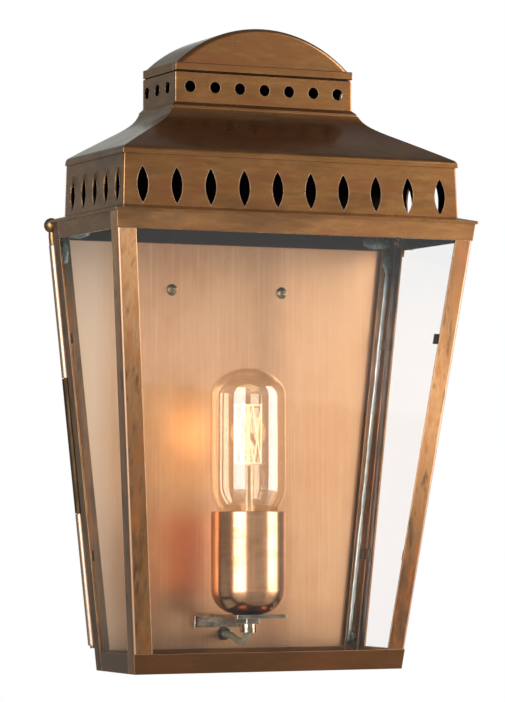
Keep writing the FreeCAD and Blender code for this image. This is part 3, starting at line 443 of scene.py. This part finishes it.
CAGE_FOOT = -0.228
POST_FOOT = 0.087
POST_LEAN = 0.0289 / 0.2662
SOLDER_FACE = -0.0105

BEAD_STEPS = 60
BEAD_SIDES = 7
BEAD_UNEVEN = 0.35
BEAD_WAVES = 160
BEAD_HALF_WIDTH = 0.0015
BEAD_RISE = 0.0009
BEAD_LOW_END = 0.0125
BEAD_LOW_INSET = 0.0075
BEAD_HIGH_END = 0.252
BEAD_HIGH_INSET = 0.0051

ROOF_RUN_REACH = 0.1078
ROOF_RUN_FACE = -0.0132
ROOF_RUN_LEVEL = 0.0399
ROOF_RUN_HALF_WIDTH = 0.0027

LUMP_RINGS = 5
LUMP_SEGMENTS = 26
LUMP_RAGGED = 0.3
LUMP_LOBES = 2
LUMP_CHANGE = 90
LUMP_BUMPY = 0.7
LUMP_WAVES = 420
LUMP_INSET = 0.0055
RAIL_LUMP_OUT = 0.101
RAIL_LUMP = {"z": 0.0325, "across": 0.0105, "up": 0.0045, "high": 0.0007}
POST_LUMP_HEIGHT = 0.248
POST_LUMP = {"z": 0.02, "across": 0.0036, "up": 0.0078, "high": 0.0008}
FOOT_LUMP_HEIGHT = 0.016
FOOT_LUMP = {"z": -0.2115, "across": 0.0036, "up": 0.0042, "high": 0.0006}


def post_edge(height):
    """Outer edge of the rear right post at a height above the cage's foot."""
    return POST_FOOT + POST_LEAN * height


def on_post(height, inset):
    """A point of the solder's face, at a height above the foot and an inset from the post's edge."""
    return (post_edge(height) - inset, SOLDER_FACE, CAGE_FOOT + height)


def lay_bead(shape, start, end, across, out):
    """A half-round bead from start to end, uneven as solder runs; across is half its width."""
    rings = []
    for step in range(BEAD_STEPS + 1):
        middle = Vector(start).lerp(Vector(end), step / BEAD_STEPS)
        swell = 1 + BEAD_UNEVEN * noise.noise(middle * BEAD_WAVES)
        ring = []
        for side in range(BEAD_SIDES):
            angle = math.pi * side / (BEAD_SIDES - 1)
            off = Vector(across) * math.cos(angle) + Vector(out) * math.sin(angle)
            ring.append(shape.verts.new(middle + off * swell))
        rings.append(ring)
    for low, high in zip(rings, rings[1:]):
        for i in range(BEAD_SIDES):
            j = (i + 1) % BEAD_SIDES
            shape.faces.new((low[i], low[j], high[j], high[i]))
    shape.faces.new(rings[0])
    shape.faces.new(rings[-1][::-1])


def lay_lump(shape, x, z, across, up, high):
    """A flat lump with an uneven edge, on the inner face of the rear of the cage."""
    rings = []
    for ring_number in range(LUMP_RINGS + 1):
        out = ring_number / LUMP_RINGS
        ring = []
        for turn in range(LUMP_SEGMENTS):
            angle = 2 * math.pi * turn / LUMP_SEGMENTS
            turned = Vector((math.cos(angle), math.sin(angle), 0))
            own = Vector((x * LUMP_CHANGE, z * LUMP_CHANGE, 0))
            edge = 1 + LUMP_RAGGED * noise.noise(LUMP_LOBES * turned + own)
            px = x + across * out * edge * turned.x
            pz = z + up * out * edge * turned.y
            bumps = noise.noise(Vector((px * LUMP_WAVES, 0, pz * LUMP_WAVES)))
            rise = high * (1 - out ** 2) * (1 + LUMP_BUMPY * bumps)
            ring.append(shape.verts.new((px, SOLDER_FACE - rise, pz)))
        rings.append(ring)
    for inner, outer in zip(rings, rings[1:]):
        for i in range(LUMP_SEGMENTS):
            j = (i + 1) % LUMP_SEGMENTS
            shape.faces.new((inner[i], inner[j], outer[j], outer[i]))
    shape.faces.new(rings[-1])


solder_shape = bmesh.new()
lay_bead(solder_shape, on_post(BEAD_LOW_END, BEAD_LOW_INSET), on_post(BEAD_HIGH_END, BEAD_HIGH_INSET),
         across=(BEAD_HALF_WIDTH, 0, 0), out=(0, -BEAD_RISE, 0))
lay_bead(solder_shape, (-ROOF_RUN_REACH, ROOF_RUN_FACE, ROOF_RUN_LEVEL),
         (ROOF_RUN_REACH, ROOF_RUN_FACE, ROOF_RUN_LEVEL),
         across=(0, 0, ROOF_RUN_HALF_WIDTH), out=(0, BEAD_RISE, 0))
for side in (-1, 1):
    lay_lump(solder_shape, side * RAIL_LUMP_OUT, **RAIL_LUMP)
    lay_lump(solder_shape, side * (post_edge(POST_LUMP_HEIGHT) - LUMP_INSET), **POST_LUMP)
lay_lump(solder_shape, post_edge(FOOT_LUMP_HEIGHT) - LUMP_INSET, **FOOT_LUMP)
bmesh.ops.remove_doubles(solder_shape, verts=solder_shape.verts, dist=1e-6)
bmesh.ops.recalc_face_normals(solder_shape, faces=solder_shape.faces)
solder_mesh = bpy.data.meshes.new("cage_solder")
solder_shape.to_mesh(solder_mesh)
solder_shape.free()
for face in solder_mesh.polygons:
    face.use_smooth = True
solder = bpy.data.objects.new("cage_solder", solder_mesh)
bpy.context.collection.objects.link(solder)
# Wiped solder: silver-white up the post, streaked grey, and dark grey-green in the corners by painted
# shade.
soft_solder = metal_finish(
    "wiped_soft_solder", dark="#b4bcb8", body="#e2e7e3", bright="#fbfdfa", stain="#a4b0ac",
    blotch="#78847f", patch_mm=(5, 5, 14), grain_mm=(2, 2, 9), stain_mm=(5, 5, 9),
    roughness=(0.38, 0.52), wear_and_highlight=0.3, relief_mm=0.1,
    fades=[("Z", 0.0, 0.016, 0.92, "#38433f"), ("Z", -0.2, -0.21, 0.9, "#343d3a")])
solder_mesh.materials.append(soft_solder)
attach(solder, "cage")


# Glazing: three panes of clear window glass laid in the frame from inside.
# Small dark brass strips folded over the frame's edge hold them.

# Window glass: hardly seen, with a faint sheen where it mirrors the room.
window_glass = glass_finish("clear_window_glass", tint="#fefefe", smear_mm=45, roughness=(0.01, 0.05),
                            bending=1.55)
dress(window_glass, "pane_front", "pane_left", "pane_right")

# Darkened brass: nearly black, with thin brown edges; browner on the clips at the rear.
dark_clip = metal_finish(
    "darkened_clip_brass", dark="#0e0b08", body="#1b150f", bright="#4a3c2b",
    patch_mm=(5, 5, 5), grain_mm=(3, 3, 3), roughness=(0.36, 0.52), wear_and_highlight=0.5,
    fades=[("Y", -0.05, -0.04, 1.0, "#7a6048")])
dress(dark_clip, "glass_clips")


# Roof work: ledge, pierced frieze, swept roof, back panel, vented collar, and arched cap.
# Brass sheet punched, folded, and swept over a former, its eave and cap rim rolled over wire.
# It was aged and waxed with the rails, so it has their finish.

dress(level_brass, "cornice", "vent_frieze", "roof", "roof_back", "vent_collar", "cap_vault",
      "cap_front")


# Burnished rims of the pierced openings: ten pointed slots in front, five on each side,
# and the round holes of the collar. The punch left a fine rolled edge that cloths rub bright.

ARC_POINTS = 20
EDGE_SIDES = 6

rim_tree = bpy.data.node_groups.new("burnished_rims", "GeometryNodeTree")
RIM_INPUTS = (("Height", "Float"), ("Width", "Float"), ("Edge", "Float"), ("Count", "Int"),
              ("Start", "Vector"), ("Pitch", "Vector"), ("Turn", "Vector"), ("Finish", "Material"))
for label, kind in RIM_INPUTS:
    rim_tree.interface.new_socket(label, in_out="INPUT", socket_type="NodeSocket" + kind)
rim_tree.interface.new_socket("Rims", in_out="OUTPUT", socket_type="NodeSocketGeometry")
sizes = add(rim_tree, "NodeGroupInput").outputs
points = {}
for label, size, share, axis in (("foot", "Height", -0.5, "Z"), ("tip", "Height", 0.5, "Z"),
                                 ("left", "Width", -0.5, "X"), ("right", "Width", 0.5, "X")):
    part = add(rim_tree, "ShaderNodeMath", {0: sizes[size], 1: share}, operation="MULTIPLY")
    points[label] = add(rim_tree, "ShaderNodeCombineXYZ", {axis: part.outputs["Value"]}).outputs["Vector"]
both = add(rim_tree, "GeometryNodeJoinGeometry")
for label in ("left", "right"):
    arc = add(rim_tree, "GeometryNodeCurveArc",
              {"Resolution": ARC_POINTS, "Start": points["foot"], "Middle": points[label],
               "End": points["tip"]}, mode="POINTS")
    rim_tree.links.new(arc.outputs["Curve"], both.inputs["Geometry"])
section = add(rim_tree, "GeometryNodeCurvePrimitiveCircle",
              {"Resolution": EDGE_SIDES, "Radius": sizes["Edge"]})
one_rim = add(rim_tree, "GeometryNodeCurveToMesh",
              {"Curve": both.outputs["Geometry"], "Profile Curve": section.outputs["Curve"],
               "Fill Caps": True})
row = add(rim_tree, "GeometryNodeMeshLine",
          {"Count": sizes["Count"], "Start Location": sizes["Start"], "Offset": sizes["Pitch"]})
turn = add(rim_tree, "FunctionNodeEulerToRotation", {"Euler": sizes["Turn"]})
spread = add(rim_tree, "GeometryNodeInstanceOnPoints",
             {"Points": row.outputs["Mesh"], "Instance": one_rim.outputs["Mesh"],
              "Rotation": turn.outputs["Rotation"]})
solid = add(rim_tree, "GeometryNodeRealizeInstances", {"Geometry": spread.outputs["Instances"]})
dressed = add(rim_tree, "GeometryNodeSetMaterial",
              {"Geometry": solid.outputs["Geometry"], "Material": sizes["Finish"]})
add(rim_tree, "NodeGroupOutput", {"Rims": dressed.outputs["Geometry"]})

# Rubbed brass edge: a thin pale line round each opening, dull brown between the rubbed places.
rubbed_edge = metal_finish(
    "rubbed_brass_edge", dark="#5f4a36", body="#8d735a", bright="#d8c3ab",
    patch_mm=(9, 9, 9), grain_mm=(5, 5, 2), roughness=(0.3, 0.42), wear_and_highlight=0.2)

RIM_RADIUS = 0.00016
SLOT = {"Height": 0.0216, "Width": 0.0072, "Edge": RIM_RADIUS, "Finish": rubbed_edge}
SLOT_LEVEL = 0.0536
FRIEZE_FRONT = -0.1014
FRIEZE_SIDE = 0.1082
FRIEZE_LEAN = math.atan(1.0 / 30.8)
FRONT_SLOTS, FRONT_SLOT_FIRST, FRONT_SLOT_PITCH = 10, -0.0963, 0.0214
SIDE_SLOTS, SIDE_SLOT_FIRST, SIDE_SLOT_PITCH = 5, -0.0241, -0.017
HOLE = {"Height": 0.007, "Width": 0.007, "Edge": RIM_RADIUS, "Finish": rubbed_edge}
HOLE_LEVEL = 0.1169
COLLAR_FRONT = -0.0607
COLLAR_SIDE = 0.0582
FRONT_HOLES, FRONT_HOLE_FIRST, FRONT_HOLE_PITCH = 7, -0.0485, 0.016167
SIDE_HOLES, SIDE_HOLE_FIRST, SIDE_HOLE_PITCH = 3, -0.0186, -0.0154
SIDEWAYS = math.pi / 2

rim_rows = [
    {**SLOT, "Count": FRONT_SLOTS, "Start": (FRONT_SLOT_FIRST, FRIEZE_FRONT, SLOT_LEVEL),
     "Pitch": (FRONT_SLOT_PITCH, 0, 0), "Turn": (-FRIEZE_LEAN, 0, 0)},
    {**HOLE, "Count": FRONT_HOLES, "Start": (FRONT_HOLE_FIRST, COLLAR_FRONT, HOLE_LEVEL),
     "Pitch": (FRONT_HOLE_PITCH, 0, 0), "Turn": (0, 0, 0)}]
for side in (-1, 1):
    rim_rows += [
        {**SLOT, "Count": SIDE_SLOTS, "Start": (side * FRIEZE_SIDE, SIDE_SLOT_FIRST, SLOT_LEVEL),
         "Pitch": (0, SIDE_SLOT_PITCH, 0), "Turn": (-side * FRIEZE_LEAN, 0, side * SIDEWAYS)},
        {**HOLE, "Count": SIDE_HOLES, "Start": (side * COLLAR_SIDE, SIDE_HOLE_FIRST, HOLE_LEVEL),
         "Pitch": (0, SIDE_HOLE_PITCH, 0), "Turn": (0, 0, side * SIDEWAYS)}]


def grown(tree, inputs):
    """The plain mesh that a tree of nodes makes from these inputs."""
    holder = bpy.data.objects.new("holder", bpy.data.meshes.new("holder"))
    bpy.context.collection.objects.link(holder)
    grower = holder.modifiers.new("grower", "NODES")
    grower.node_group = tree
    for item in tree.interface.items_tree:
        if item.in_out == "INPUT":
            grower[item.identifier] = inputs[item.name]
    mesh = bpy.data.meshes.new_from_object(holder.evaluated_get(bpy.context.evaluated_depsgraph_get()))
    bpy.data.objects.remove(holder)
    return mesh


rim_shape = bmesh.new()
for inputs in rim_rows:
    rim_shape.from_mesh(grown(rim_tree, inputs))
rim_mesh = bpy.data.meshes.new("opening_rims")
rim_shape.to_mesh(rim_mesh)
rim_shape.free()
for face in rim_mesh.polygons:
    face.use_smooth = True
rim_mesh.materials.append(rubbed_edge)
rims = bpy.data.objects.new("opening_rims", rim_mesh)
bpy.context.collection.objects.link(rims)
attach(rims, "cage")


# Hinge pin, closing screw and the cage's own knuckle: brass, aged with the frame.
# Pin and screw are turned rods with ball heads. The pin lifts out of the three knuckles; the
# screw clamps the cage to the plate.

# Aged turned brass: olive-brown with a soft bright spot on each ball.
aged_ball = metal_finish(
    "aged_turned_brass", dark="#6c5438", body="#96774f", bright="#d8bc96",
    patch_mm=(9, 9, 9), grain_mm=(6, 6, 1.2), roughness=(0.32, 0.44), wear_and_highlight=0.4)
dress(aged_ball, "hinge_pin", "thumb_screw")

# Dulled rolled brass: a dark matt brown between the plate's two bright knuckles.
dull_knuckle = metal_finish(
    "dulled_rolled_brass", dark="#3d2f23", body="#55432f", bright="#97785a",
    patch_mm=(6, 6, 30), grain_mm=(2, 2, 30), roughness=(0.5, 0.6), wear_and_highlight=0.3)
dress(dull_knuckle, "cage_knuckle")


# Studio: a pale floor, a white wall of light behind the lantern, white low down in front,
# grey round the rest, and two tall soft lamps in front, left and right. The camera stands where
# the photograph was taken from.

FLOOR_LEVEL = -0.40
FLOOR_RADIUS = 1.42
FLOOR_SIDES = 96
LAMPS_AROUND = (-50, 57)
LAMP_DISTANCE = 1.5
LAMP_WIDTH = 0.98
LAMP_HEIGHT = 1.7
LAMP_LEVEL = 0.35
LAMP_WATTS = 30
WHITE_TOWARDS = 25
SIDE_GREY = "#8b908b"
FRONT_GREY = "#b9b9b6"
OVERHEAD_GREY = "#7d7f7f"
WHITE = "#ffffff"
CAMERA_AT = (-0.84144, -1.83999, -0.12893)
CAMERA_TILT = 92.63
CAMERA_TURN = -25.1
CAMERA_LENS = 170.1
CAMERA_SENSOR = 36
GLASS_WALLS_IN_LINE = 24

disc = bmesh.new()
bmesh.ops.create_circle(disc, cap_ends=True, segments=FLOOR_SIDES, radius=FLOOR_RADIUS)
bmesh.ops.translate(disc, verts=disc.verts, vec=(0, 0, FLOOR_LEVEL))
floor_mesh = bpy.data.meshes.new("studio_floor")
disc.to_mesh(floor_mesh)
disc.free()
floor = bpy.data.objects.new("studio_floor", floor_mesh)
bpy.context.collection.objects.link(floor)
# Painted floor: pale grey with wide faint clouds, polished enough to lengthen the lamps.
pale_floor = moulded_finish("pale_studio_floor", colour="#a8a7a3", paler="#b2b1ad", grain_mm=220,
                            roughness=(0.16, 0.24), relief_mm=0.01)
floor_mesh.materials.append(pale_floor)

world = bpy.data.worlds.new("studio_light")
world.use_nodes = True
sky = world.node_tree
sky.nodes.clear()
heading = add(sky, "ShaderNodeTexCoord").outputs["Generated"]
height = add(sky, "ShaderNodeSeparateXYZ", {"Vector": heading}).outputs["Z"]
aside = math.sin(math.radians(WHITE_TOWARDS))
ahead = math.cos(math.radians(WHITE_TOWARDS))
towards_back = add(sky, "ShaderNodeVectorMath", {0: heading, 1: (aside, ahead, 0)},
                   operation="DOT_PRODUCT").outputs["Value"]
towards_front = add(sky, "ShaderNodeVectorMath", {0: heading, 1: (aside, -ahead, 0)},
                    operation="DOT_PRODUCT").outputs["Value"]
part_of_sky = {}
for label, value, start, full in (("back", towards_back, 0.70, 0.86), ("wall_top", height, 0.32, 0.18),
                                  ("front", towards_front, 0.35, 0.8), ("low", height, -0.04, -0.16),
                                  ("overhead", height, 0.25, 0.75)):
    part_of_sky[label] = add(sky, "ShaderNodeMapRange",
                             {"Value": value, "From Min": start, "From Max": full},
                             interpolation_type="SMOOTHSTEP").outputs["Result"]
back_wall = add(sky, "ShaderNodeMath", {0: part_of_sky["back"], 1: part_of_sky["wall_top"]},
                operation="MULTIPLY")
low_front = add(sky, "ShaderNodeMath", {0: part_of_sky["front"], 1: part_of_sky["low"]},
                operation="MULTIPLY")
white = add(sky, "ShaderNodeMath", {0: back_wall.outputs["Value"], 1: low_front.outputs["Value"]},
            operation="MAXIMUM")
shade = linear(SIDE_GREY)
for share, colour in ((part_of_sky["front"], FRONT_GREY), (part_of_sky["overhead"], OVERHEAD_GREY),
                      (white.outputs["Value"], WHITE)):
    shade = add(sky, "ShaderNodeMix", {MIX_SHARE: share, MIX_FROM: shade, MIX_TO: linear(colour)},
                data_type="RGBA").outputs[2]
light = add(sky, "ShaderNodeBackground", {"Color": shade, "Strength": 1.0})
add(sky, "ShaderNodeOutputWorld", {"Surface": light.outputs["Background"]})
bpy.context.scene.world = world

for degrees in LAMPS_AROUND:
    lamp = bpy.data.lights.new("soft_lamp", "AREA")
    lamp.shape = "RECTANGLE"
    lamp.size = LAMP_WIDTH
    lamp.size_y = LAMP_HEIGHT
    lamp.energy = LAMP_WATTS
    stand = bpy.data.objects.new("soft_lamp", lamp)
    around = math.radians(degrees)
    stand.location = (LAMP_DISTANCE * math.sin(around), -LAMP_DISTANCE * math.cos(around), LAMP_LEVEL)
    stand.rotation_euler = (math.radians(90), 0, around)
    stand.visible_camera = False
    bpy.context.collection.objects.link(stand)

camera = bpy.data.cameras.new("photo_camera")
camera.lens = CAMERA_LENS
camera.sensor_width = CAMERA_SENSOR
viewer = bpy.data.objects.new("photo_camera", camera)
viewer.location = CAMERA_AT
viewer.rotation_euler = (math.radians(CAMERA_TILT), 0, math.radians(CAMERA_TURN))
bpy.context.collection.objects.link(viewer)
bpy.context.scene.camera = viewer
bpy.context.scene.view_settings.view_transform = "Standard"
bpy.context.scene.cycles.transparent_max_bounces = GLASS_WALLS_IN_LINE
